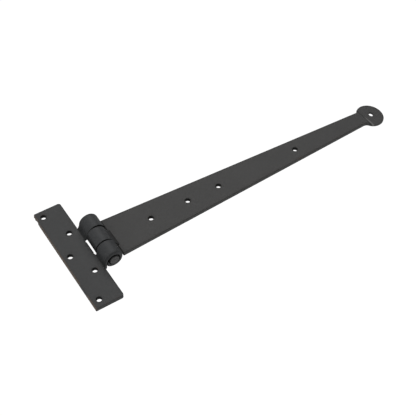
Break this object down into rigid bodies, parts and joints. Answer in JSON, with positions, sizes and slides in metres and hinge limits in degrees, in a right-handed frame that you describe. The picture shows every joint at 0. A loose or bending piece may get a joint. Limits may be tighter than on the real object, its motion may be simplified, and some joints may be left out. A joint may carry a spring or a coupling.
{
  "type": "penny-end tee hinge",
  "caption": "Black forged tee hinge for a door or gate: short fixing plate, long tapering strap with a thin oval penny end, rolled knuckles on a plain pin.",
  "frame": {"origin": "middle of the fixing plate's back face, the face that is screwed to the door frame", "axes": "+X along the strap towards its penny end, +Y along the hinge pin, +Z away from the door, with both leaves' backs in the plane z = 0"},
  "size_m": [0.4563, 0.155, 0.0232],
  "materials": {
    "leaf_black": "satin black wax over forged mild steel",
    "pin_black": "satin black over a peened steel bar end"
  },
  "bodies": {
    "plate_body": {"fixing_plate": "leaf_black", "hinge_pin": "pin_black"},
    "strap_body": {"strap": "leaf_black"}
  },
  "joints": [
    {"name": "strap_swing", "type": "hinge", "parent": "plate_body", "child": "strap_body", "pos_m": [0.0297, 0, 0.0116], "axis": [0, -1, 0], "range_deg": [0, 180]}
  ]
}
